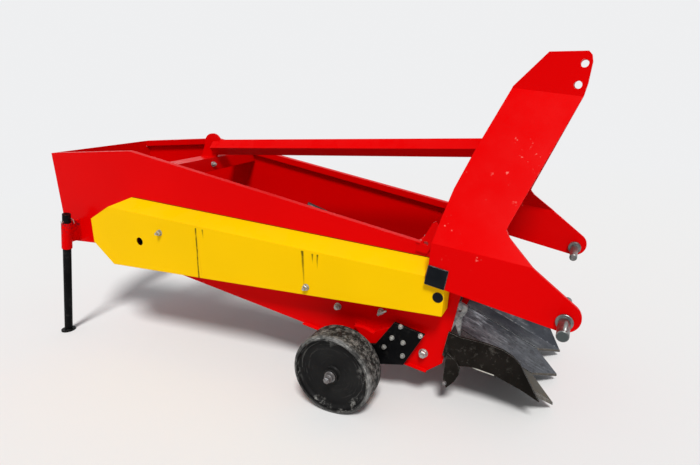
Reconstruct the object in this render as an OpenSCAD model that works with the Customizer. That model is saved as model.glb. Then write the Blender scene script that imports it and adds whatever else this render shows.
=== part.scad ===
// Potato digger: mounted single-row machine with a rod web elevator, three-point hitch,
// chain drive on the right side, two support wheels and a parking stand.
// +X is forward, +Y is left, +Z is up, and the ground is at z = 0.
// Lengths along the machine are given as distances behind the lower hitch pins.

/* [Side walls] */
// Distance from the lower hitch pins back to the rear wall
wall_back = 2345; // [2200:5:2500]
// Height of the top edge at the rear wall
wall_rear_top = 918; // [880:1:960]
// Distance behind the pins where the top edge starts to fall
wall_kink_back = 1819; // [1700:1:1950]
// Height of the top edge where it starts to fall
wall_kink_top = 930; // [900:1:980]
// Fall of the top edge towards the front, in degrees
wall_fall = 13; // [12:0.5:14]
// Height of the bottom edge at the rear
wall_rear_bottom = 478; // [460:1:500]
// Distance behind the pins where the bottom edge starts to fall
wall_outlet_back = 2095; // [2060:5:2200]
// Distance behind the pins of the lowest front corner
wall_toe_back = 459; // [450:1:480]
// Height of the lowest front corner
wall_toe_height = 125; // [115:1:135]
// Length of the short edge that rises from the lowest corner
wall_toe_run = 58; // [50:1:65]
// Rise of that short edge
wall_toe_rise = 42; // [36:1:48]
// Distance behind the pins of the upper front corner
wall_front_back = 303; // [290:1:320]
// Distance between the outer faces of the two side walls
body_width = 616; // [560:2:640]
// Sheet thickness of the walls
wall_sheet = 4; // [3:0.5:6]
// Width of the folded top rim
rim_width = 25; // [20:1:40]
// Depth of the lip that hangs from the rim
rim_lip = 30; // [20:1:40]
// Width of the flange that is folded outwards along the bottom
flange_width = 16; // [10:1:18]
// Distance behind the pins where the bottom flange starts
flange_back = 975; // [900:5:1300]

/* [Headstock] */
// Height of the lower hitch pins
pin_height = 440; // [434:1:446]
// Distance between the shoulders of the lower hitch pins
hitch_span = 825; // [825:1:830]
// Diameter of the lower hitch pins
pin_dia = 36.6; // [36.4:0.1:36.6]
// Length of the pins outside their collars
pin_out = 96; // [90:1:105]
// Diameter of the inner ends of the pins
pin_inner_dia = 30; // [30:1:34]
// Length of the inner ends, from the plate
pin_inner = 157; // [120:1:170]
// Diameter of the collars
collar_dia = 52; // [48:1:56]
// Thickness of the collars
collar_thick = 8; // [6:1:10]
// Thickness of the headstock plates
head_sheet = 12; // [10:1:15]
// Distance between the outer faces of the plates at the top link
head_top_width = 84; // [80:1:90]
// Slope of the two bends against the ground, in degrees
bend_slope = 9.5; // [8:0.5:11]
// Height of the lower bend above the ground line through the pins, square to the bend
bend_low = 576; // [560:1:590]
// Drop of the upper bend below the upper top link hole, square to the bend
bend_drop = 120; // [105:1:140]
// Radius of the nose round the pin
nose_radius = 49; // [44:1:54]
// Distance of the nose's centre behind the pins
nose_set = 2; // [0:1:6]
// Height of the nose's centre above the pins
nose_rise = 13; // [8:1:16]
// Direction in which the nose meets the upper edge, in degrees
nose_turn = 48; // [44:1:52]
// Diameter of the top link holes
top_hole = 26; // [25.7:0.1:27]
// Distance of the upper top link hole behind the pins
top_hole_back = 4; // [0:1:10]
// Height of the upper top link hole
top_hole_height = 1192; // [1186:1:1196]
// Distance between the two top link holes along the plate, backwards
top_hole_shift = 16; // [12:1:20]
// Drop from the upper to the lower hole
top_hole_drop = 67; // [60:1:74]

/* [Tool tube] */
// Outside size of the square tool tube
tube_size = 70; // [60:1:76]
// Wall of the tool tube
tube_wall = 6; // [5:1:8]
// Distance of the tube centre behind the pins
tube_back = 395; // [385:1:405]
// Height of the tube centre
tube_height = 536; // [530:1:542]
// Slope of the tube and of the headstock's lower edge, in degrees
arm_fall = 12.7; // [12:0.1:13.5]
// Thickness of the plug's rim outside the tube
plug_rim = 4; // [3:1:6]
// Depth of the plug inside the tube
plug_depth = 15; // [10:1:25]
// Thickness of the gusset between the tube and the wall
gusset_sheet = 8; // [6:1:10]
// Diameter of the hole in the gusset
gusset_hole = 17; // [13:1:20]
// Depth to which the gusset laps over the wall
gusset_lap = 31; // [24:1:32]

/* [Brace] */
// Side of the square brace tube, which stands on its edge
brace_size = 50; // [45:1:55]
// Wall of the brace tube
brace_wall = 4; // [3:0.5:5]
// Height of the brace centre
brace_height = 914; // [908:1:920]
// Distance of the rear end of the brace behind the pins
brace_back = 1597; // [1590:1:1610]
// Distance of the spreader tube behind the pins
spreader_back = 285; // [275:1:295]
// Diameter of the spreader tube
spreader_dia = 60; // [50:1:70]
// Wall of the spreader tube
spreader_wall = 5; // [4:1:8]
// Thickness of the lug at the brace's rear end
lug_thick = 12; // [8:1:15]
// Radius of the lug's head
lug_radius = 46; // [42:1:50]
// Distance of the lug's head behind the pins
lug_back = 1599; // [1590:1:1610]
// Height of the lug's head
lug_height = 933; // [925:1:940]

/* [Cross beam] */
// Distance of the beam's front edge behind the pins
beam_front_back = 1589; // [1575:1:1600]
// Depth of the beam along the machine
beam_depth = 115; // [100:1:130]
// Height of the beam's top
beam_top = 868; // [855:1:875]
// Drop of the beam's flanges
beam_drop = 60; // [45:1:70]
// Sheet thickness of the beam
beam_sheet = 5; // [4:1:8]

/* [Elevator] */
// Distance of the rear drive shaft behind the pins
drive_back = 1919; // [1900:1:1940]
// Height of the rear drive shaft
drive_height = 552; // [545:1:560]
// Distance of the front roller behind the pins
nose_back = 520; // [510:1:535]
// Height of the front roller
nose_height = 214; // [210:1:220]
// Radius of the web round its end wheels, at the middle of the belts
web_radius = 60; // [57:1:64]
// Number of teeth on the drive sprockets, which sets the pitch of the rods
sprocket_teeth = 9; // [8:1:11]
// Thickness of the drive sprockets
sprocket_thick = 14; // [10:1:18]
// Diameter of the rods
rod_dia = 11; // [10:0.5:13]
// Height of the rods above the middle of the belts
rod_rise = 3; // [2.5:0.5:4]
// Width of the two belts
belt_width = 50; // [40:1:60]
// Thickness of the belts
belt_thick = 8; // [6:1:9]
// Gap between a belt and the wall beside it
belt_gap = 8; // [6:1:12]
// Diameter of the drive shafts
shaft_dia = 35; // [30:1:40]
// Diameter of the front roller's axle
roller_axle = 30; // [25:1:35]
// Diameter of the carrier rollers
carrier_dia = 50; // [40:1:60]
// Diameter of the carrier rollers' axles
carrier_axle = 20; // [16:1:25]
// Outside diameter of the bearing housing
bearing_dia = 100; // [90:1:110]
// Thickness of the bearing housing
bearing_thick = 25; // [20:1:35]
// Diameter of the bolt circle of the bearing flange
bearing_bolts = 130; // [125:1:135]
// Thickness of the rubber seals along the walls
seal_thick = 8; // [6:1:12]

/* [Gearbox] */
// Distance of the gearbox behind the tool tube
gear_behind = 130; // [130:1:140]
// Drop of the gearbox below the tool tube
gear_drop = 74; // [72:1:78]
// Length and width of the gearbox's body
gear_body = 112; // [104:1:116]
// Height of the gearbox's body
gear_tall = 124; // [118:1:126]
// Diameter of the necks that carry the shafts
gear_neck = 92; // [84:1:96]
// Diameter of the flanges on the necks
gear_flange = 112; // [106:1:116]
// Reach of the front neck from the shaft's centre
gear_front_reach = 84; // [80:1:88]
// Reach of the side neck
gear_side_reach = 96; // [90:1:110]
// Diameter of the drive stub
stub_dia = 34.9; // [34.9:0.1:35]
// Length of the drive stub outside the gearbox
stub_out = 135; // [110:1:140]
// Diameter of the stub's seat inside the gearbox
stub_seat_dia = 40; // [38:1:45]
// Depth of the stub's seat
stub_seat = 50; // [40:1:60]
// Thickness of the plate that carries the gearbox
hanger_sheet = 12; // [10:1:14]

/* [Chain guard] */
// Distance of the guard's face from the middle
guard_out = 388; // [380:1:392]
// Sheet thickness of the guard
guard_sheet = 3; // [2:0.5:4]
// Reach of the guard behind the rear shaft
guard_rear = 127; // [120:1:135]
// Drop of the guard below the rear shaft
guard_drop = 136; // [130:1:142]
// Height of the guard's bend above the rear shaft
guard_bend_rise = 138; // [132:1:144]
// Fall of the bend line towards the front, in degrees
guard_bend_fall = 6.2; // [5.8:0.1:6.6]
// Tilt of the guard's roof, in degrees
guard_roof_tilt = 26.5; // [24:0.5:30]
// Reach of the guard ahead of the tool tube
guard_front = 23; // [20:1:26]
// Drop of the guard below the tool tube
guard_front_drop = 146; // [142:1:150]
// Distance of the seam between the two sections behind the pins
guard_seam = 1414; // [1350:1:1480]
// Diameter of the rear hole in the guard
guard_rear_hole = 37; // [30:1:45]
// Diameter of the front hole in the guard
guard_front_hole = 31; // [25:1:35]

/* [Shares] */
// Gap between neighbouring shares
share_gap = 6; // [4:1:10]
// Distance of the share tips behind the pins
share_tip_back = 20; // [10:1:40]
// Height of the share tips
share_tip_height = 30; // [25:1:40]
// Distance of the share's rear edge behind the pins
share_rear_back = 405; // [400:1:410]
// Height of the share's rear edge
share_rear_height = 226; // [222:1:232]
// Thickness of the shares
share_thick = 10; // [8:1:12]
// Length of the pointed part
share_point = 95; // [80:1:120]
// Angle by which the outer halves of the outer shares are folded up, in degrees
share_fold = 25.5; // [20:0.5:28]
// Slope of the ground edges, in degrees
share_bevel = 22; // [18:1:28]
// Thickness of the bar under the shares
share_bar = 14; // [12:1:16]
// Depth of that bar along the shares
share_bar_depth = 80; // [60:1:95]
// Thickness of the side knives
knife_sheet = 10; // [8:1:12]
// Thickness of the toe skids
skid_sheet = 8; // [6:1:10]
// Thickness of the front brackets
bracket_sheet = 14; // [10:1:16]

/* [Wheels] */
// Diameter of the support wheels
wheel_dia = 310; // [300:2:320]
// Width of the support wheels
wheel_width = 114; // [106:1:116]
// Distance of the wheels behind the pins
wheel_back = 754; // [745:1:770]
// Distance between the outer faces of the two wheels
wheel_span = 1034; // [1024:2:1040]
// Radius of the tread's shoulders
wheel_shoulder = 14; // [10:1:18]
// Thickness of the tread
wheel_tread = 9; // [7:1:11]
// Depth of the disc behind the outer rim
wheel_dish = 22; // [18:1:28]
// Thickness of the disc
wheel_disc = 8; // [6:1:10]
// Diameter of the hub
wheel_hub = 52; // [48:1:60]
// Diameter of the wheel's axle
axle_dia = 30; // [28:1:32]
// Length of the axle outside the wheel
axle_out = 12; // [10:1:16]
// Distance of the adjusting plate from the wall
arm_gap = 22; // [20:1:26]
// Thickness of the adjusting plate
arm_sheet = 10; // [8:1:12]
// Radius of the arm round the axle
arm_boss = 40; // [36:1:44]

/* [Stand] */
// Lean of the parking stand, bottom rearwards, in degrees
stand_lean = 14.5; // [12:0.5:16]
// Diameter of the stand leg
leg_dia = 38; // [34:1:38]
// Outside diameter of the stand's sleeve
sleeve_dia = 48; // [46:1:54]
// Running gap between the leg and the sleeve, on the radius
sleeve_play = 0.6; // [0.6:0.1:1]
// Gap between the wall and the sleeve, bridged by its bracket
stand_standoff = 46; // [36:1:52]
// Length of leg below the sleeve
leg_below = 478; // [465:1:490]
// Length of the sleeve
sleeve_tall = 135; // [120:1:145]
// Length of leg above the sleeve
leg_above = 44; // [40:1:60]
// Distance of the foot behind the pins
foot_back = 2386; // [2380:1:2390]
// Diameter of the foot
foot_dia = 68; // [62:1:76]
// Thickness of the foot
foot_thick = 8; // [6:1:12]
// Diameter of the locking pin
stand_pin_dia = 12; // [10:1:14]
// Pitch of the holes in the leg
leg_hole_pitch = 100; // [80:5:110]

/* [Hidden] */
$fn = 48;
// Overshoot of cuts, and clearance between pieces that lie in each other
eps = 1;
seat = 0.3;
// Reach that is more than the machine in any direction
far = 3000;

// Side faces, as distances from the middle
wall_out = body_width / 2;
wall_in = wall_out - wall_sheet;
head_out = hitch_span / 2 - collar_thick;
head_in = head_out - head_sheet;

// The part's length runs from the stand's foot to the headstock's nose
nose_ahead = nose_radius - nose_set;
origin_shift = (foot_back + foot_dia / 2 - nose_ahead) / 2;

// Puts the machine over the origin
module placed() translate([origin_shift, 0, 0]) children();
// Extrudes an outline given as [x, z] between two y values
module slab(y0, y1) translate([0, y1, 0]) rotate([90, 0, 0]) linear_extrude(y1 - y0) children();
// Draws the children on the right side or, mirrored, on the left
module side(s) if (s < 0) { children(); } else { mirror([0, 1, 0]) children(); }
module both() for (s = [-1, 1]) side(s) children();
// A strip of the given thickness under a line of [x, z] points
module strip(points, thick)
    polygon(concat(points, [for (i = [len(points) - 1:-1:0]) points[i] - [0, thick]]));
// Round bar along Y
module bar_y(x, z, y0, y1, d) translate([x, y1, z]) rotate([90, 0, 0]) cylinder(d = d, h = y1 - y0);
// Turns a list of [distance behind the pins, height] into [x, z] points
function outline(points) = [for (p = points) [-p[0], p[1]]];
// Points on an arc from angle a0 to a1
function arc(centre, r, a0, a1, steps) =
    [for (i = [0:steps]) let (a = a0 + (a1 - a0) * i / steps) centre + r * [cos(a), sin(a)]];
// A closed outline, counter-clockwise, moved inwards by t
function normal(a, b) = let (u = (b - a) / norm(b - a)) [-u[1], u[0]];
function inset(points, t) = let (n = len(points)) [for (i = [0:n - 1])
    let (b = points[i], na = normal(points[(i + n - 1) % n], b), nb = normal(b, points[(i + 1) % n]))
    b + t * (na + nb) / (1 + na * nb)];

// Side walls
function wall_top(back) = wall_kink_top - tan(wall_fall) * (wall_kink_back - back);
bottom_fall = (wall_rear_bottom - wall_toe_height) / (wall_outlet_back - wall_toe_back);
function wall_bottom(back) = wall_toe_height + bottom_fall * (back - wall_toe_back);
top_line = outline([[wall_back, wall_rear_top], [wall_kink_back, wall_kink_top],
                    [wall_front_back, wall_top(wall_front_back)]]);
bottom_line = outline([[wall_back, wall_rear_bottom], [wall_outlet_back, wall_rear_bottom],
                       [wall_toe_back, wall_toe_height],
                       [wall_toe_back - wall_toe_run, wall_toe_height + wall_toe_rise]]);

module tube_square(extra) translate([-tube_back, tube_height]) rotate(-arm_fall)
    square(tube_size + 2 * extra, center = true);

module rim() {
    slab(-wall_out, -wall_out + rim_width) strip(top_line, wall_sheet);
    slab(-wall_out + rim_width - wall_sheet, -wall_out + rim_width) strip(top_line, rim_lip);
}
module wall_flange() slab(-wall_out - flange_width, -wall_out)
    strip(outline([[flange_back, wall_bottom(flange_back) + wall_sheet],
                   [wall_toe_back, wall_toe_height + wall_sheet]]), wall_sheet);
module side_wall() {
    difference() {
        union() {
            slab(-wall_out, -wall_in) polygon(concat(bottom_line, [for (i = [2:-1:0]) top_line[i]]));
            rim();
        }
        slab(-far, far) tube_square(seat);
        bar_y(-drive_back, drive_height, -far, far, shaft_dia + 2 * seat);
        bar_y(-nose_back, nose_height, -far, far, roller_axle + 2 * seat);
        bar_y(-gear_back, gear_height, -far, far, shaft_dia + 2 * seat);
    }
    wall_flange();
}

// Room that the two rims take between the walls
module rim_room() both() slab(-wall_in - eps, -wall_out + rim_width + seat)
    translate([0, eps]) strip(top_line, rim_lip + 2 * eps);
module rear_wall() difference() {
    translate([-wall_back, -wall_in, wall_rear_bottom])
        cube([wall_sheet, 2 * wall_in, wall_rear_top - wall_rear_bottom]);
    rim_room();
}

module cross_beam() difference() {
    translate([-beam_front_back - beam_depth, -wall_in, beam_top - beam_drop])
        cube([beam_depth, 2 * wall_in, beam_drop]);
    translate([-beam_front_back - beam_depth + beam_sheet, -far, beam_top - beam_drop - eps])
        cube([beam_depth - 2 * beam_sheet, 2 * far, beam_drop - beam_sheet + eps]);
    rim_room();
}

// Brace: a lug on the cross beam, which the brace tube is slotted over, and the spreader in front
module lug_outline() {
    translate([-lug_back, lug_height]) circle(lug_radius);
    polygon([[-beam_front_back - beam_depth + 2 * lug_thick, beam_top], [-beam_front_back - eps, beam_top],
             [-lug_back + lug_radius, lug_height], [-lug_back - lug_radius, lug_height]]);
}
module brace_lug() slab(-lug_thick / 2, lug_thick / 2) lug_outline();
module brace() difference() {
    translate([-brace_back, 0, brace_height]) rotate([45, 0, 0]) rotate([0, 90, 0])
        linear_extrude(brace_back - spreader_back) difference() {
            square(brace_size, center = true);
            square(brace_size - 2 * brace_wall, center = true);
        }
    slab(-lug_thick / 2, lug_thick / 2) lug_outline();
    bar_y(-spreader_back, brace_height, -far, far, spreader_dia);
}

// Headstock: each plate is the side view cut out of a sheet that is bent twice
function tube_corner(sx, sz) = [-tube_back, tube_height]
    + tube_size / 2 * [sx * cos(arm_fall) + sz * sin(arm_fall), sz * cos(arm_fall) - sx * sin(arm_fall)];
nose_centre = [-nose_set, pin_height + nose_rise];
// Edges of the plate above the tube, as [distance behind the pins, height above the pins]
head_front = [[91, 153], [152, 212], [175, 235], [187, 256], [181, 271]];
head_rear = [[319, 491], [369, 371], [394, 282], [414, 202]];
// The head, as [distance behind the pins, height above the upper top link hole]
head_top = [[1, -106], [-10, -64], [-20, 6], [-17, 25], [-6, 38], [114, 44], [226, -61]];
function lifted(points, height) = [for (p = points) [-p[0], p[1] + height]];
top_holes = outline([[top_hole_back, top_hole_height],
                     [top_hole_back + top_hole_shift, top_hole_height - top_hole_drop]]);
module head_outline() difference() {
    union() {
        translate(nose_centre) circle(nose_radius);
        polygon(concat(
            [tube_corner(-1, 1), tube_corner(1, 1), tube_corner(1, -1)],
            [nose_centre - nose_radius * [sin(arm_fall), cos(arm_fall)]],
            [nose_centre + nose_radius * [cos(nose_turn), sin(nose_turn)]],
            lifted(head_front, pin_height), lifted(head_top, top_hole_height),
            lifted(head_rear, pin_height)));
    }
    tube_square(0);
    translate([0, pin_height]) circle(d = pin_inner_dia);
    for (p = top_holes) translate(p) circle(d = top_hole);
}
// Section across the bends, as [y, height] pairs, of a face that lies inset from the outside
function bent_line(inside) = [[head_out - inside, 0], [head_out - inside, bend_low],
                              [head_top_width / 2 - inside, top_hole_height - bend_drop],
                              [head_top_width / 2 - inside, 2 * top_hole_height]];
function reversed(points) = [for (i = [len(points) - 1:-1:0]) points[i]];
module along_bends() rotate([0, bend_slope, 0]) rotate([90, 0, -90]) linear_extrude(far, center = true)
    children();
module bent_sheet() along_bends()
    polygon(concat(bent_line(0), reversed(bent_line(head_sheet))));
module head_space() along_bends()
    polygon(concat(bent_line(head_sheet), [for (p = reversed(bent_line(head_sheet))) [-p[0], p[1]]]));
module headstock() intersection() {
    bent_sheet();
    slab(-far, 0) head_outline();
}
module headstock_spreader() intersection() {
    head_space();
    difference() {
        bar_y(-spreader_back, brace_height, -head_out, head_out, spreader_dia);
        bar_y(-spreader_back, brace_height, -far, far, spreader_dia - 2 * spreader_wall);
    }
}

// Tool tube, which runs through both walls and both headstock plates
module tool_tube() slab(-head_out, head_out) difference() {
    tube_square(0);
    tube_square(-tube_wall);
}
module tube_plug() {
    slab(-head_out - plug_rim, -head_out) tube_square(0);
    slab(-head_out, -head_out + plug_depth) tube_square(-tube_wall);
}
// Gusset from the wall's top edge to the tube, as [behind, above] the tube's centre
gusset_upper = [[24, 100], [19, 153], [27, 165], [38, 159]];
gusset_foot = [tube_back + 100, tube_back + 59];
module wall_gusset() slab(-wall_out - gusset_sheet, -wall_out) difference() {
    polygon(concat([for (back = gusset_foot) [-back, wall_top(back) - gusset_lap]],
                   [for (p = gusset_upper) [-tube_back - p[0], tube_height + p[1]]]));
    translate([-tube_back - 62, tube_height + 86]) circle(d = gusset_hole);
}

module hitch_pin() {
    bar_y(0, pin_height, -head_out - collar_thick - pin_out, -head_out - collar_thick, pin_dia);
    bar_y(0, pin_height, -head_out - collar_thick, -head_out, collar_dia);
    bar_y(0, pin_height, -head_out, -head_in + pin_inner, pin_inner_dia);
    bar_y(0, pin_height, -head_in, -head_in + 2 * collar_thick, collar_dia);
}

// Gearbox under the tool tube: the drive stub enters from the front, and the cross shaft leaves
// to the right
gear_back = tube_back + gear_behind;
gear_height = tube_height - gear_drop;
neck_bolts = 6;
flange_thick = 12;
module in_gearbox() translate([-gear_back, 0, gear_height]) children();
// A neck along Z with its flange and bolt bosses at the end
module gear_neck_z(reach) {
    cylinder(d = gear_neck, h = reach);
    translate([0, 0, reach - flange_thick]) cylinder(d = gear_flange, h = flange_thick);
    for (i = [0:neck_bolts - 1]) rotate(360 / neck_bolts * i)
        translate([gear_neck / 2, 0, gear_body / 2 - eps])
            cylinder(d = flange_thick, h = reach - gear_body / 2);
}
module gearbox() in_gearbox() difference() {
    union() {
        intersection() {
            cube([gear_body, gear_body, gear_tall], center = true);
            cylinder(d = gear_body * 1.25, h = gear_tall, center = true);
        }
        rotate([0, 90, 0]) gear_neck_z(gear_front_reach);
        rotate([90, 0, 0]) gear_neck_z(gear_side_reach);
    }
    rotate([0, 90, 0]) translate([0, 0, gear_front_reach - stub_seat])
        cylinder(d = stub_seat_dia + 2 * seat, h = stub_seat + eps);
    rotate([90, 0, 0]) translate([0, 0, gear_body / 4]) cylinder(d = shaft_dia, h = gear_side_reach);
}
// Plate on top of the gearbox, welded to the tube's rear side
module gearbox_hanger() difference() {
    in_gearbox() translate([-gear_body / 2, -gear_body / 2, gear_tall / 2])
        cube([gear_body / 2 + gear_behind, gear_body, hanger_sheet]);
    slab(-far, far) tube_square(0);
    slab(-far, far) translate(tube_corner(1, -1)) square(tube_size * 2, center = true);
}
module pto_shaft() in_gearbox() rotate([0, 90, 0]) {
    translate([0, 0, gear_front_reach - stub_seat + seat])
        cylinder(d = stub_seat_dia, h = stub_seat - seat);
    translate([0, 0, gear_front_reach]) cylinder(d = stub_dia, h = stub_out);
}
module cross_shaft() bar_y(-gear_back, gear_height, -shaft_end, -gear_body / 4, shaft_dia);

// Chain guard: a thin box that is open towards the wall, in two sections
shaft_end = guard_out - guard_sheet - 20;
guard_slant = 118;
guard_outline = outline([
    [drive_back + guard_rear - 6, drive_height + 75], [drive_back + guard_rear, drive_height - 37],
    [drive_back + 19, drive_height - guard_drop], [tube_back - 13, tube_height - guard_front_drop],
    [tube_back - guard_front, tube_height - 48], [tube_back + tube_size / 2 + 10, tube_height - 33],
    [tube_back + tube_size / 2 + 10, tube_height + tube_size],
    [drive_back - guard_slant, drive_height + 188],
    [drive_back - 6, drive_height + guard_bend_rise]]);
guard_holes = [[drive_back - 170, drive_height - 11, guard_rear_hole],
               [tube_back, tube_height - 78, guard_front_hole]];
module guard_body(t) intersection() {
    slab(-guard_out + t, -wall_out + (t > 0 ? eps : 0)) polygon(inset(guard_outline, t));
    translate([-drive_back + 6, -guard_out, drive_height + guard_bend_rise - t / cos(guard_roof_tilt)])
        rotate([0, guard_bend_fall, 0]) rotate([guard_roof_tilt, 0, 0])
            translate([-far, -far, -2 * far]) cube(2 * far);
}
module guard() difference() {
    guard_body(0);
    guard_body(guard_sheet);
    for (h = guard_holes) bar_y(-h[0], h[1], -guard_out - eps, -guard_out + 2 * guard_sheet, h[2]);
}
module chain_guard_rear() intersection() {
    guard();
    translate([-far, -far / 2, 0]) cube([far - guard_seam - seat / 2, far, far]);
}
module chain_guard_front() intersection() {
    guard();
    translate([-guard_seam + seat / 2, -far / 2, 0]) cube(far);
}

// Elevator: two belts that carry the rods round the drive shaft and the front roller
belt_out = wall_in - belt_gap;
belt_in = belt_out - belt_width;
drum_dia = 2 * web_radius - belt_thick - 2 * seat;
rod_radius = web_radius + rod_rise;
module drums(back, height) both() bar_y(-back, height, -belt_out, -belt_in, drum_dia);
// Toothed wheel beside each belt, with its teeth between the rods
module sprocket() {
    circle(d = drum_dia - rod_dia);
    for (i = [0:sprocket_teeth - 1]) rotate(360 / sprocket_teeth * i)
        polygon([[0, -rod_dia], [drum_dia / 2, -rod_dia], [rod_radius + rod_dia / 2, -rod_dia / 3],
                 [rod_radius + rod_dia / 2, rod_dia / 3], [drum_dia / 2, rod_dia], [0, rod_dia]]);
}
module elevator_shaft() {
    bar_y(-drive_back, drive_height, -shaft_end, wall_out + bearing_thick + 5, shaft_dia);
    drums(drive_back, drive_height);
    both() slab(-belt_in + seat, -belt_in + seat + sprocket_thick)
        translate([-drive_back, drive_height]) rotate(first_tooth) sprocket();
}
module front_roller() {
    bar_y(-nose_back, nose_height, -wall_out, wall_out, roller_axle);
    drums(nose_back, nose_height);
}
web_run = norm([drive_back - nose_back, drive_height - nose_height]);
web_slope = atan2(drive_height - nose_height, drive_back - nose_back);
web_length = 2 * web_run + 2 * PI * web_radius;
rod_count = round(web_length / (2 * PI * web_radius / sprocket_teeth));
rod_pitch = web_length / rod_count;
// The first rod leaves the drive shaft square to the web, and the next tooth is half a pitch on
first_tooth = 90 - web_slope + 180 / sprocket_teeth;
// Place of a rod in the web's own frame, x along the web from the drive shaft and z square to it
function rod_place(s) = s < web_run ? [s, rod_radius]
    : s < web_run + PI * web_radius ? let (a = 90 - (s - web_run) / web_radius * 180 / PI)
        [web_run + rod_radius * cos(a), rod_radius * sin(a)]
    : s < 2 * web_run + PI * web_radius ? [2 * web_run + PI * web_radius - s, -rod_radius]
    : let (a = 270 - (s - 2 * web_run - PI * web_radius) / web_radius * 180 / PI)
        [rod_radius * cos(a), rod_radius * sin(a)];
module web_frame() translate([-drive_back, 0, drive_height]) rotate([0, web_slope, 0]) children();
module loop_outline(r) {
    circle(r);
    translate([web_run, 0]) circle(r);
    translate([0, -r]) square([web_run, 2 * r]);
}
module rod_web() web_frame() {
    both() slab(-belt_out, -belt_in) difference() {
        loop_outline(web_radius + belt_thick / 2);
        loop_outline(web_radius - belt_thick / 2);
    }
    for (i = [0:rod_count - 1]) let (p = rod_place(i * rod_pitch))
        translate([p[0], wall_in - belt_gap / 2, p[1]]) rotate([90, 0, 0])
            cylinder(d = rod_dia, h = 2 * wall_in - belt_gap, $fn = 8);
}
module carrier_rollers() web_frame() for (x = [web_run / 3, web_run * 2 / 3])
    let (z = web_radius - belt_thick / 2 - seat - carrier_dia / 2) {
        bar_y(x, z, -wall_in, wall_in, carrier_axle);
        both() bar_y(x, z, -belt_out, -belt_in, carrier_dia);
    }
// Rubber seal on the inside of each wall, above the web, as [distance behind the pins, height]
seal_outline = [[1287, 581], [1274, 598], [820, 425], [833, 407]];
module web_seal() slab(-wall_in, -wall_in + seal_thick) polygon(outline(reversed(seal_outline)));
// Flanged bearing of the drive shaft on the left wall
bearing_base = 10;
module bearings_left() difference() {
    union() {
        bar_y(-drive_back, drive_height, wall_out, wall_out + bearing_thick, bearing_dia);
        slab(wall_out, wall_out + bearing_base) translate([-drive_back, drive_height]) hull()
            for (a = [0, 180]) rotate(a - web_slope)
                translate([bearing_bolts / 2, 0]) circle(bearing_thick);
    }
    bar_y(-drive_back, drive_height, -far, far, shaft_dia + 2 * seat);
}

// Shares: three pointed blades, ground on both edges of the point, on a bar between the walls
share_slope = atan2(share_rear_height - share_tip_height, share_rear_back - share_tip_back);
share_length = norm([share_rear_back - share_tip_back, share_rear_height - share_tip_height]);
share_pitch = body_width / 3;
share_width = share_pitch - share_gap;
share_outer = (wall_in - seat - share_pitch) / cos(share_fold);
module share_frame() translate([-share_rear_back, 0, share_rear_height])
    rotate([0, share_slope, 0]) children();
// Half of a blade, from its axis outwards, with the ground edge
module share_half(width) difference() {
    linear_extrude(share_thick) polygon([[0, 0], [share_length, 0], [share_length - share_point, width],
                                         [0, width]]);
    translate([share_length, 0, 2]) rotate([0, 0, 180 - atan2(width, share_point)])
        rotate([-share_bevel, 0, 0]) translate([-share_point, -share_width, 0])
            cube([3 * share_point, share_width, share_width]);
}
module share(i) share_frame() translate([0, i * share_pitch, -share_thick]) for (s = [-1, 1])
    scale([1, s, 1]) if (i * s > 0) {
        rotate([share_fold, 0, 0]) share_half(share_outer);
    } else {
        share_half(share_width / 2);
    }
module share_beam() share_frame() {
    translate([share_thick / 2, -wall_in, -share_thick - share_bar])
        cube([share_bar_depth, 2 * wall_in, share_bar]);
    for (i = [-1:1]) translate([share_thick / 2, i * share_pitch - share_bar, -share_thick - 2 * share_bar])
        linear_extrude(2 * share_bar) polygon([[0, 0], [share_length / 2, share_bar * 0.6],
            [share_length / 2, share_bar * 1.4], [0, 2 * share_bar]]);
}
// Side knife on the outside of the wall's front, as [distance behind the pins, height]
knife_outline = concat([[360, 172], [300, 178], [207, 160], [128, 128], [62, 92], [92, 150], [129, 221]],
                       [[152, 245], [184, 264], [245, 279], [335, 287], [375, 301], [398, 207]]);
module side_knife() slab(-wall_out - knife_sheet, -wall_out) polygon(outline(knife_outline));
// Curved skid on the knife, which guards the lowest corner
skid_outline = [[384, 201], [393, 113], [382, 80], [352, 112],
                [337, 141], [332, 166], [345, 195], [376, 222]];
module toe_skid() slab(-wall_out - knife_sheet - skid_sheet, -wall_out - knife_sheet)
    polygon(outline(skid_outline));
// Cast bracket inside the wall's front edge, above the share
bracket_outline = [[385, 349], [360, 344], [340, 281], [332, 357],
                   [317, 376], [313, 400], [340, 413], [382, 395]];
module front_bracket() slab(-wall_in, -wall_in + bracket_sheet) difference() {
    polygon(outline(bracket_outline));
    translate([-340, 385]) circle(d = bracket_sheet);
}

// Wheels: adjusting plate with the arm and axle, on a bracket that is welded to the wall
axle_height = wheel_dia / 2;
arm_in = wall_out + arm_gap;
arm_out = arm_in + arm_sheet;
arm_plate = [[650, 215], [540, 150], [456, 286], [572, 316]];
arm_bracket_outline = [[740, 272], [710, 234], [677, 204], [661, 182], [545, 180], [475, 280], [560, 300],
                       [641, 268], [661, 252], [696, 267]];
module arm_bracket() slab(-arm_in, -wall_out) polygon(outline(arm_bracket_outline));
module wheel_arm() {
    difference() {
        slab(-arm_out, -arm_in) {
            polygon(outline(arm_plate));
            polygon([[-wheel_back, axle_height - arm_boss], [-arm_plate[1][0], arm_plate[1][1]],
                     [-arm_plate[0][0], arm_plate[0][1]], [-wheel_back, axle_height + arm_boss]]);
            translate([-wheel_back, axle_height]) circle(arm_boss);
        }
        bar_y(-wheel_back, axle_height, -far, far, axle_dia);
    }
    bar_y(-wheel_back, axle_height, -wheel_span / 2 - axle_out, -arm_in, axle_dia);
}
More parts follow.
